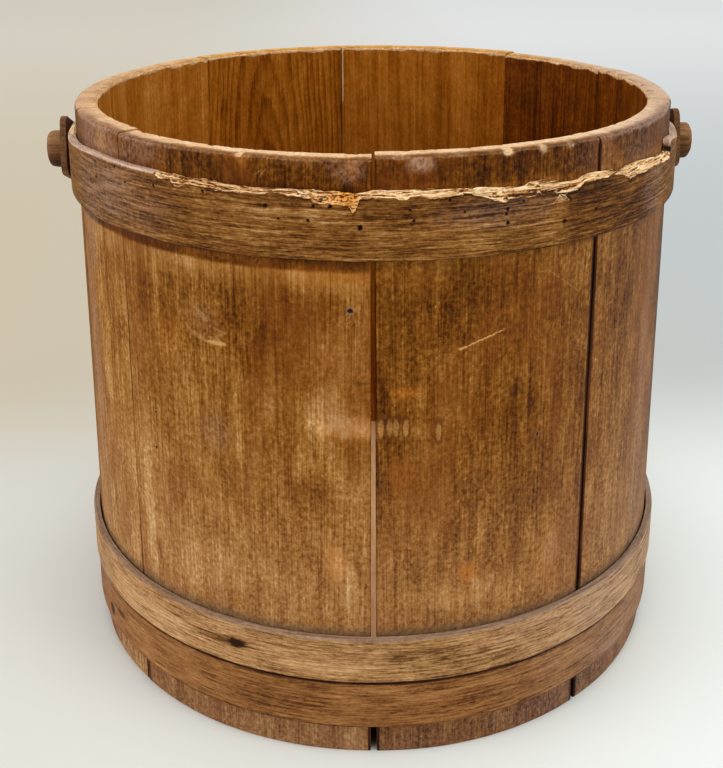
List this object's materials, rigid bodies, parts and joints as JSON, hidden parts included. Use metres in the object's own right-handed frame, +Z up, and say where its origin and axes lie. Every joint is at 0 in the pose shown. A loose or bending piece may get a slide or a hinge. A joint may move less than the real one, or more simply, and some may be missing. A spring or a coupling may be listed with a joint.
{
  "type": "wooden firkin",
  "caption": "Coopered wooden bucket, wider at its base, with lapped bentwood hoops and a bentwood bail that swings on two round-headed pegs.",
  "frame": {"origin": "middle of the base, on the floor", "axes": "+Z up, -Y is the front seen in the picture, +X along the bail's pivot towards the right-hand peg"},
  "size_m": [0.3412, 0.3384, 0.2985],
  "materials": {
    "stave": "aged honey-brown pine, worn satin",
    "bottom": "bare aged pine",
    "dowel": "bare hardwood",
    "top_hoop": "aged brown bentwood, torn pale edge",
    "upper_bottom_hoop": "aged tan bentwood",
    "lower_bottom_hoop": "aged red-brown bentwood",
    "tack": "dull dark iron",
    "peg": "handled brown hardwood",
    "bail": "handled dark bentwood"
  },
  "bodies": {
    "bucket": {"stave_01": "stave", "stave_02": "stave", "stave_03": "stave", "stave_04": "stave", "stave_05": "stave", "stave_06": "stave", "stave_07": "stave", "stave_08": "stave", "stave_09": "stave", "stave_10": "stave", "bottom_board_1": "bottom", "bottom_board_2": "bottom", "bottom_board_3": "bottom", "bottom_dowels": "dowel", "top_hoop": "top_hoop", "upper_bottom_hoop": "upper_bottom_hoop", "lower_bottom_hoop": "lower_bottom_hoop", "top_hoop_tacks": "tack", "upper_hoop_tacks": "tack", "lower_hoop_tacks": "tack", "left_peg": "peg", "right_peg": "peg", "left_peg_wedge": "dowel", "right_peg_wedge": "dowel"},
    "bail": {"bail": "bail"}
  },
  "joints": [
    {"name": "bail_swing", "type": "hinge", "parent": "bucket", "child": "bail", "pos_m": [0, 0, 0.2685], "axis": [1, 0, 0], "range_deg": [0, 223.7]}
  ]
}
